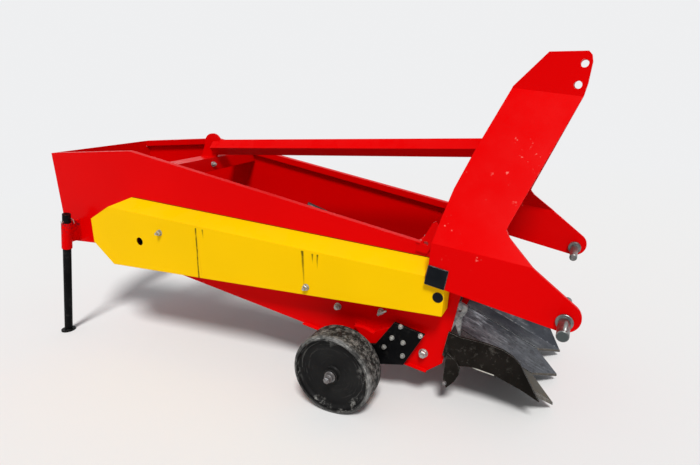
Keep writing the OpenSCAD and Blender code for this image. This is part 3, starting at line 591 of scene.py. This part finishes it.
# Painted shade: the roller's black fills the rear hole, whose darkness is shade inside the guard.
roller, stud = bmesh.new(), at(1749, -308, 541)
turn_on(roller, [(20, 0), (20, 15), (24, 31), (26, 33), (52, 33), (54, 31), (56, 20), (56, 0)],
        stud, (0, -1, 0), 40)
turn_on(roller, [(-0.5, 0), (-0.5, 9), (62, 9), (63, 8), (63, 0)], stud, (0, -1, 0), 20)
kept("tension_roller_painted_shade", roller, black_plastic, "frame")

# Gearbox
# A cast bevel gearbox, painted grey, bolted by its top plate. It has bolted covers, a breather and
# a drain plug, and its input shaft is a splined stub.
casting = Finish("painted_casting")
shape, edge = casting.rounded(0.003)
rough = casting.noise(130.0, 6.0)
shade = casting.mix(casting.soft(casting.noise(14.0, 5.0), 0.45, 0.7) * 0.6,
                    (0.16, 0.165, 0.17, 1), (0.085, 0.08, 0.075, 1))
shade = casting.mix(edge * 0.35, shade, (0.30, 0.30, 0.29, 1))
painted_casting = casting.done(shade, Roughness=0.5 + rough * 0.2, Normal=casting.bump(
    rough, 0.0016, 0.5, shape))
wears(painted_casting, "gearbox", "bearings_left")
GEAR = at(SHAFT_BACK, 0, SHAFT_HEIGHT)
rows = []
for step in range(6):
    angle = math.radians(60 * step + 30)
    up, across = 0.0505 * math.sin(angle), 0.0505 * math.cos(angle)
    rows.append((GEAR + Vector((0.084, across, up)), (1, 0, 0), 8))
    rows.append((GEAR + Vector((across, -0.096, up)), (0, -1, 0), 8))
rows += [(GEAR + Vector((-0.056, 0.0, 0.035)), (-1, 0, 0), 17),
         (GEAR + Vector((-0.056, 0.03, -0.042)), (-1, 0, 0), 14)]
for along in (-0.04, 0.02):
    rows += [(GEAR + Vector((along, side, 0.074)), (0, 0, 1), 15) for side in (-0.04, 0.04)]
rows += [(at(1919 - hand * 65 * math.cos(math.radians(13.6)), 318, 552 - hand * 65 * math.sin(
    math.radians(13.6))), (0, 1, 0), 19) for hand in (-1, 1)]
fasteners("gearbox_and_bearing_bolts", rows, 0.1)

steel = Finish("turned_steel")
shape, _ = steel.rounded(0.0012)
lathe = steel.noise(1.0, 3.0, steel.stretched(900, 900, 60))
stain = steel.soft(steel.noise(20.0, 5.0), 0.5, 0.72)
shade = steel.mix(stain * 0.6, (0.42, 0.42, 0.42, 1), (0.20, 0.14, 0.10, 1))
turned_steel = steel.done(shade, Metallic=0.9, Roughness=0.32 + stain * 0.3,
                          Normal=steel.bump(lathe, 0.0003, 0.15, shape))
wears(turned_steel, "cross_shaft", "elevator_shaft", "front_roller", "carrier_rollers", "stand_pin")

stub = bmesh.new()
start = GEAR + Vector((0.084, 0, 0))
turn_on(stub, [(-50, 0), (-50, 20), (0.5, 20), (0.5, 17.4), (46, 17.4), (50, 15.0), (104, 15.0),
               (106, 13.6), (113, 13.6), (115, 15.0), (132, 15.0), (135, 12.5), (135, 0)],
        start, (1, 0, 0), 36)
for step in range(6):
    angle = math.radians(60 * step)
    for low, high in ((50, 104), (115, 132)):
        section = [Vector((0, y, z)) for y, z in ((-4.3, 13.5), (-4.3, 17.2), (4.3, 17.2), (4.3, 13.5))]
        rings = [[stub.verts.new(start + (Matrix.Rotation(angle, 3, "X") @ p + Vector((x, 0, 0))) / 1000)
                  for p in section] for x in (low - 3, low + 1.5, high - 1.5, high)]
        for ring in (rings[0], rings[3]):
            for vert in ring:
                vert.co += (start + Vector((vert.co.x - start.x, 0, 0)) - vert.co) * 0.08
        for one, two in zip(rings, rings[1:]):
            for i in range(4):
                stub.faces.new((one[i], one[(i + 1) % 4], two[(i + 1) % 4], two[i]))
        stub.faces.new(rings[0])
        stub.faces.new(rings[3])
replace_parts(kept("splined_stub", stub, turned_steel, "drive_input", 25), "pto_shaft")

# Rod web
# Spring-steel rods with flattened ends, riveted at an even pitch to two rubber belts. The belts
# run round the drive shaft and the front roller.
DRIVE, NOSE = at(1919, 0, 552), at(520, 0, 214)
WEB_R, ROD_R = 0.060, 0.063
run = NOSE - DRIVE
slope = math.degrees(math.atan2(-run.z, run.x))


def loop(radius, steps=16):
    """Points round the two end wheels at a distance, without the closing one."""
    for centre, first in ((NOSE, 90.0), (DRIVE, -90.0)):
        for step in range(steps + 1):
            angle = math.radians(first - slope - 180.0 * step / steps)
            yield centre + Vector((math.cos(angle), 0, math.sin(angle))) * radius


rubber = Finish("belt_rubber")
shape, _ = rubber.rounded(0.001)
ply = rubber.noise(160.0, 3.0)
soil = rubber.soft(rubber.noise(12.0, 5.0), 0.45, 0.75)
shade = rubber.mix(soil * 0.5, (0.018, 0.018, 0.019, 1), (0.075, 0.066, 0.056, 1))
belt_rubber = rubber.done(shade, Roughness=0.72, Normal=rubber.bump(ply, 0.0006, 0.4, shape))
belts = bmesh.new()
for hand in (-1, 1):
    rings = []
    for inner, outer in zip(loop(WEB_R - 0.004), loop(WEB_R + 0.004)):
        row = []
        for side, level in ((246, 0.15), (247.5, 0), (294.5, 0), (296, 0.15), (296, 0.85),
                            (294.5, 1), (247.5, 1), (246, 0.85)):
            row.append(belts.verts.new(inner.lerp(outer, level) + Vector((0, hand * side / 1000, 0))))
        rings.append(row)
    for one, two in zip(rings, rings[1:] + rings[:1]):
        for i in range(8):
            belts.faces.new((one[i], one[(i + 1) % 8], two[(i + 1) % 8], two[i]))
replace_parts(kept("web_belts", belts, belt_rubber, "frame", 30), "rod_web")

bar = Finish("web_rod_steel")
shape, _ = bar.rounded(0.001)
rust = bar.soft(bar.noise(28.0, 5.0), 0.42, 0.66)
shade = bar.mix(rust * 0.75, (0.24, 0.24, 0.25, 1), (0.105, 0.07, 0.05, 1))
rod_steel = bar.done(shade, Metallic=0.75, Roughness=0.4 + rust * 0.25,
                     Normal=bar.bump(bar.noise(300.0, 3.0), 0.0003, 0.25, shape))
rods, source = pattern("web_rods", ["Count", "Length", "Diameter"])


def across(tree, made, move=(0, 0, 0), size=(1, 1, 1)):
    values = {0: made, "Translation": move, "Scale": size, "Rotation": (math.pi / 2, 0, 0)}
    return tree.node("GeometryNodeTransform", {}, values)


round_bar = rods.node("GeometryNodeMeshCylinder", {"fill_type": "NGON"}, {
    "Vertices": 10, "Radius": source.other("Diameter") * 0.5, "Depth": source.other("Length") - 0.1})
shapes = [across(rods, rods.node("GeometryNodeSetShadeSmooth", {}, {0: round_bar}))]
for hand in (-1, 1):
    pad = rods.node("GeometryNodeMeshCube", {}, {"Size": (0.017, 0.056, 0.0046)})
    shapes.append(rods.node("GeometryNodeTransform", {}, {0: pad, "Translation": (0, hand * 0.271, 0.0)}))
    for place in (0.259, 0.283):
        head = rods.node("GeometryNodeMeshCone", {}, {
            "Vertices": 10, "Radius Top": 0.0030, "Radius Bottom": 0.0052, "Depth": 0.0028})
        shapes.append(rods.node("GeometryNodeTransform", {}, {
            0: head, "Translation": (0, hand * place, 0.0023)}))
one_rod = rods.node("GeometryNodeJoinGeometry", {}, {0: shapes})
line = rods.node("GeometryNodeMeshToCurve", {}, {0: source})
count = rods.node("FunctionNodeFloatToInt", {}, {0: source.other("Count")})
spots = rods.node("GeometryNodeCurveToPoints", {"mode": "COUNT"}, {0: line, "Count": count})
# The rods stand square to the loop, so each one's X axis follows the tangent
aim = rods.node("FunctionNodeAlignRotationToVector", {"axis": "X", "pivot_axis": "Y"}, {
    2: spots.other("Tangent")})
stood = rods.node("GeometryNodeInstanceOnPoints", {}, {0: spots, 2: one_rod, "Rotation": aim})
close(rods, stood, source)
points = list(loop(ROD_R + 0.002, 24))
ends = len(points)
path = bpy.data.meshes.new("rod_path")
path.from_pydata(points, [(i, (i + 1) % ends) for i in range(ends)], [])
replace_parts(grow("web_rods", path, rods, rod_steel, "web_steel", "frame", Count=78.0, Length=0.6,
                 Diameter=0.011), "rod_web")

# Rubber seals
# Strips of black rubber that keep crop off the gap between web and wall, clamped by a row of
# bolts through a thin steel flat.
wears(belt_rubber, "web_seals")
flats, rows = bmesh.new(), []
for hand in (-1, 1):
    low, high = at(826, hand * 296, 417), at(1281, hand * 296, 590)
    along = (low - high).normalized()
    up = Vector((-along.z, 0, along.x))
    matrix = Matrix((along, Vector((0, 1, 0)), up)).transposed().to_4x4()
    matrix = Matrix.Translation((low + high) / 2 + Vector((0, -hand * 0.0012, 0))) @ matrix
    size = Matrix.Diagonal(((low - high).length - 0.012, 0.0024, 0.012, 1))
    bmesh.ops.create_cube(flats, size=1, matrix=matrix @ size)
    on_top = Vector((0, -hand * 0.0024, 0))
    rows += [(low.lerp(high, 0.06 + 0.22 * step) + on_top, (0, -hand, 0), 10) for step in range(5)]
bmesh.ops.bevel(flats, geom=flats.edges[:], offset=0.0006, segments=2, affect="EDGES")
kept("seal_flats", flats, rod_steel, "frame")
fasteners("seal_bolts", rows, 0.1)

# Shares
# Three forged blades of spring steel with ground points. The blue-black oil finish has worn off
# along the middle and the edges, and the ground facets are bare and lightly rusted. The right
# blade's rear is painted nearly black as shade and its tip is brown, the left blade's outer fold
# is painted dark as shade, and the middle one has pale streaks at the rear.
SHARE_SLOPE = math.atan2(196, 385)
# The gaps between the blades and the folds of the outer ones, as distances from the middle
GAP_AT, FOLD_AT = 0.1027, 0.2053
blade = Finish("blade_steel")
shape, edge = blade.rounded(0.0015)
origin = at(405, 0, 226)
along = (blade.x - origin.x) * math.cos(SHARE_SLOPE) - (blade.z - origin.z) * math.sin(SHARE_SLOPE)
FOLD = math.radians(25.5)
level = None
for turn in (-FOLD, 0, FOLD):
    facing = Matrix.Rotation(SHARE_SLOPE, 3, "Y") @ Vector((0, math.sin(turn), math.cos(turn)))
    part = blade.node("ShaderNodeVectorMath", {"operation": "DOT_PRODUCT"},
                      {0: blade.flat, 1: facing}, "Value")
    level = level.sum("MAXIMUM", level, part) if level else part
ground_face = blade.soft(level, 0.985, 0.96) * (level > 0.5)
drawn = blade.stretched(9, 46, 9, (0, SHARE_SLOPE, 0))
scratch = blade.soft(blade.noise(1.0, 7.0, drawn, 0.7), 0.5, 0.62)
worn = blade.soft(blade.noise(11.0, 6.0, rough=0.65), 0.46, 0.56)
fleck = blade.soft(blade.noise(75.0, 5.0, rough=0.7), 0.5, 0.62)
bare = blade.mix(fleck * 0.6, (0.27, 0.29, 0.31, 1), (0.12, 0.115, 0.105, 1))
near, left = blade.y < -GAP_AT, blade.y > GAP_AT
shade = blade.mix(blade.soft(blade.noise(16.0, 4.0), 0.4, 0.6),
                  (0.028, 0.031, 0.040, 1), (0.062, 0.068, 0.082, 1))
shade = blade.mix(near, shade, blade.mix(fleck * 0.5, (0.050, 0.046, 0.038, 1), (0.10, 0.09, 0.07, 1)))
rubbed = worn * (0.22 + scratch * 0.48) * (1 - left * 0.2 - near * 0.5)
rubbed = rubbed * (1 - blade.soft(along, 0.22, 0.34) * 0.4)
# Painted shade: the left blade's outer folded half, which faces away from the light, is darkened.
shade = blade.mix((blade.y > FOLD_AT) * 0.6, shade, (0.014, 0.017, 0.024, 1))
behind = blade.soft(along, 0.30, 0.12) * (1 - left) * (1 - near)
drawn = blade.stretched(13, 60, 13, (0, SHARE_SLOPE, 0))
streak = blade.soft(blade.noise(1.0, 6.0, drawn, 0.68), 0.46, 0.60)
patch = blade.soft(blade.noise(13.0, 4.0, rough=0.6), 0.44, 0.60)
shade = blade.mix(behind * streak * patch * 0.85, shade, (0.42, 0.46, 0.50, 1))
tip = blade.soft(along, 0.22, 0.36)
# Painted shade: the right blade's rear, which lies in shade under the knife and bracket, is darkened
# nearly black.
shade = blade.mix(near * (1 - tip) * 0.7, shade, (0.009, 0.008, 0.007, 1))
shade = blade.mix(near * tip * (0.3 + fleck * 0.35), shade, (0.115, 0.094, 0.058, 1))
crease = blade.soft(abs(abs(blade.y) - FOLD_AT), 0.0045, 0.0015) * blade.soft(fleck, 0.0, 0.3)
shade = blade.mix(rubbed.sum("MAXIMUM", rubbed, crease * 0.8), shade, bare)
shade = blade.mix(ground_face, shade, blade.mix(scratch, (0.085, 0.078, 0.066, 1), (0.17, 0.155, 0.13, 1)))
shade = blade.mix(edge * 0.5, shade, (0.42, 0.42, 0.40, 1))
blade_steel = blade.done(shade, Metallic=0.55 + worn * 0.25, Roughness=0.36 + fleck * 0.2,
                         Normal=blade.bump(scratch + fleck * 0.5, 0.0005, 0.3, shape))
wears(blade_steel, "share_right", "share_middle", "share_left")

# Countersunk plough bolts hold each share to its carrier
bolts = bmesh.new()
normal = Vector((math.sin(SHARE_SLOPE), 0, math.cos(SHARE_SLOPE)))
forward = Vector((math.cos(SHARE_SLOPE), 0, -math.sin(SHARE_SLOPE)))
for blade_number in (-1, 0, 1):
    for side in ((-42, 42) if blade_number == 0 else (-70 * blade_number, -22 * blade_number)):
        place = origin + forward * 0.062 + Vector((0, (blade_number * 205.33 + side) / 1000, 0))
        turn_on(bolts, [(-3, 0), (-3, 9), (0, 11), (0.5, 10.6), (0.7, 8), (0.2, 7), (0.2, 0)],
                place, normal, 24)
kept("plough_bolts", bolts, blade_steel, "frame")

# Knives, skids and front brackets
# Flame-cut side knives and curved skids in black enamel, which soil has rubbed through at the
# edges. The cast brackets above them are galvanised, and their rear edge has caught red enamel.


def black(name, tone, wear, gloss=0.34, ground=False):
    """Worn black enamel. On a ground piece, stones have rubbed the lower edge of the knife bright."""
    paint = Finish(name)
    shape, edge = paint.rounded(0.0018)
    smear = paint.soft(paint.noise(8.0, 6.0, rough=0.65), 0.42, 0.72)
    nick = paint.soft(paint.noise(52.0, 5.0, rough=0.7), 0.56, 0.64)
    shade = paint.mix(smear, (*tone, 1), (*[c * 1.9 + 0.002 for c in tone], 1))
    shade = paint.mix(nick * smear * wear * 0.5, shade, (0.14, 0.13, 0.115, 1))
    chips = edge * paint.soft(paint.noise(30.0, 4.0), 0.3, 0.62) * wear
    shade = paint.mix(chips, shade, (0.40, 0.39, 0.36, 1))
    if ground:
        corner, slope = at(207, 0, 160), 0.1935
        above = paint.z + (paint.x - corner.x) * slope - corner.z
        rubbed = paint.soft(above, 0.0050, 0.0024) * paint.soft(paint.x, at(292, 0, 0).x, at(272, 0, 0).x)
        rubbed = rubbed * (paint.x < at(214, 0, 0).x) * (paint.z < 0.185) * (abs(paint.y) > 0.3075)
        shade = paint.mix(rubbed * 0.9, shade, (0.66, 0.64, 0.58, 1))
    return paint.done(shade, Roughness=gloss + smear * 0.16, Specular_IOR_Level=0.045,
                      Normal=paint.bump(nick + paint.noise(160.0, 2.0), 0.0004, 0.3, shape))


worn_black = black("worn_black_enamel", (0.0062, 0.0050, 0.0040), 0.9, ground=True)
wears(worn_black, "side_knives", "toe_skids", "share_beam")
cast = Finish("galvanised_casting")
shape, _ = cast.rounded(0.003)
spangle = cast.noise(40.0, 6.0, rough=0.7)
shade = cast.mix(cast.soft(spangle, 0.4, 0.6), (0.10, 0.105, 0.115, 1), (0.33, 0.33, 0.32, 1))
spray = cast.soft(cast.x, at(338, 0, 0).x, at(362, 0, 0).x) * cast.soft(cast.z, 0.352, 0.368)
shade = cast.mix(spray * cast.soft(cast.noise(55.0, 4.0), 0.38, 0.60), shade, (0.34, 0.03, 0.04, 1))
wears(cast.done(shade, Metallic=0.6, Roughness=0.42, Normal=cast.bump(spangle, 0.002, 0.5, shape)),
      "front_brackets")
rows = [(at(388, hand * 326, 100), (0, hand, 0), 13) for hand in (-1, 1)]
fasteners("skid_bolts", rows, 0.2, rod_steel, "bare_steel")

# Wheel arms
# Flame-cut plates in black enamel, each with a welded axle. Six bolts hold each plate, so that the
# wheel can be set higher or lower, and a clamp lever stands above it.
AXLE_BACK, AXLE_HEIGHT = 754, 155
black_enamel = black("black_enamel", (0.0026, 0.0026, 0.0030), 0.35)
wears(black_enamel, "wheel_arm_right", "wheel_arm_left", "stand_leg")
rows = [(at(AXLE_BACK, hand * 535, AXLE_HEIGHT), (0, hand, 0), 22) for hand in (-1, 1)]
fasteners("axle_nuts", rows, 0.2, rod_steel, "bare_steel")
caps = bmesh.new()
for hand in (-1, 1):
    turn_on(caps, [(0.2, 15.2), (0.2, 20.5), (0.8, 21), (3.4, 21), (4, 20.5), (4, 16.6), (17, 16.6),
                   (18, 15.6), (18, 0), (12.2, 0), (12.2, 15.2), (0.2, 15.2)],
            at(AXLE_BACK, hand * 517, AXLE_HEIGHT), (0, hand, 0), 36)
kept("axle_caps", caps, rod_steel, "frame")
lever = bmesh.new()
for hand in (-1, 1):
    start, end = at(640, hand * 322, 331), at(606, hand * 326, 352)
    turn_on(lever, [(0, 0), (0, 4), (1, 5), (38, 4.2), (40, 3), (40, 0)], start, end - start, 14)
    turn_on(lever, [(-16, 0), (-16, 6), (3, 6), (5, 4.5), (5, 0)], start, (0, hand, 0), 18)
kept("clamp_levers", lever, zinc_plate, "frame")

# Wheels
# Pressed steel wheels with a dished disc and a rounded tread, painted black. The tread is
# scuffed grey all round, its outer edge carries pale patches of painted sheen, and stones have
# grazed the disc.
wheel = Finish("wheel_black")
shape, edge = wheel.rounded(0.002)
middle = at(AXLE_BACK, 0, AXLE_HEIGHT)
across_x, across_z = wheel.x - middle.x, wheel.z - middle.z
radius = (across_x * across_x + across_z * across_z) ** 0.5
angle = across_z.sum("ARCTAN2", across_z, across_x)
ring = wheel.vector(radius * 190.0, angle * 1.7, wheel.y * 3.0)
arcs = wheel.soft(wheel.noise(1.0, 5.0, ring, 0.62), 0.56, 0.64)
where = wheel.soft(wheel.noise(9.0, 2.0), 0.42, 0.6)
outer = wheel.soft(radius, 0.092, 0.128)
tread = wheel.soft(radius, 0.140, 0.149)
rub = wheel.noise(1.0, 7.0, wheel.vector(angle * 3.5, wheel.y * 520.0, radius * 20.0), 0.7)
ring = wheel.vector(across_x * 9.0, wheel.y * 9.0, across_z * 9.0)
patchy = wheel.soft(wheel.noise(1.0, 3.0, ring), 0.42, 0.56)
# Painted sheen: pale patches on the tread's outer edge stand in for light caught from the sky.
shoulder_sheen = wheel.soft(abs(wheel.y), 0.488, 0.505) * tread * (0.2 + patchy * 0.8)
graze = wheel.soft(wheel.noise(26.0, 7.0, rough=0.75), 0.51, 0.57) * wheel.soft(radius, 0.086, 0.112)
graze = graze * (1 - tread) * wheel.soft(wheel.noise(7.5, 1.0), 0.46, 0.56)
pits = wheel.noise(48.0, 6.0, rough=0.7)
shade = wheel.mix(wheel.soft(wheel.noise(10.0, 5.0), 0.35, 0.75),
                  (0.0065, 0.0065, 0.007, 1), (0.014, 0.0138, 0.0135, 1))
shade = wheel.mix(arcs * where * (0.05 + outer * 0.45) * 0.62, shade, (0.20, 0.195, 0.185, 1))
shade = wheel.mix(graze * 0.8, shade, (0.27, 0.265, 0.25, 1))
grey = wheel.mix(wheel.soft(pits, 0.46, 0.62), (0.016, 0.0158, 0.015, 1), (0.30, 0.295, 0.28, 1))
shade = wheel.mix(tread * wheel.soft(rub, 0.40, 0.60), shade, grey)
shade = wheel.mix(shoulder_sheen * wheel.soft(rub, 0.34, 0.60) * 0.8, shade, (0.31, 0.31, 0.305, 1))
shade = wheel.mix(edge * 0.3, shade, (0.22, 0.21, 0.20, 1))
wears(wheel.done(shade, Roughness=0.46 + tread * 0.25, Specular_IOR_Level=0.08,
                 Normal=wheel.bump(pits * tread + arcs * 0.2, 0.0012, 0.55, shape)),
      "wheel_right", "wheel_left")

# Stand pin
# A bright steel pin through the leg, with a wire ring that keeps it in place.
STAND = at(FOOT_BACK, -378, 0)
lean = Vector((math.sin(LEAN), 0, math.cos(LEAN)))
grip = STAND + lean * 0.621
middle = grip + Vector((0.006, 0.026, -0.006))
ring = lines("stand_ring_line", [list(circle(middle, (0.25, 1, 0.2), 0.014, 22))])
wire, source = pattern("wire_ring", ["Radius"])
line = wire.node("GeometryNodeMeshToCurve", {}, {0: source})
section = wire.node("GeometryNodeCurvePrimitiveCircle", {}, {"Resolution": 8, "Radius": 1.0})
tube = wire.node("GeometryNodeCurveToMesh", {}, {
    0: line, 1: section, "Scale": source.other("Radius"), "Fill Caps": True})
close(wire, wire.node("GeometryNodeSetShadeSmooth", {}, {0: tube}), source)
grow("stand_pin_ring", ring, wire, zinc_plate, "zinc_steel", "stand", Radius=0.0016)
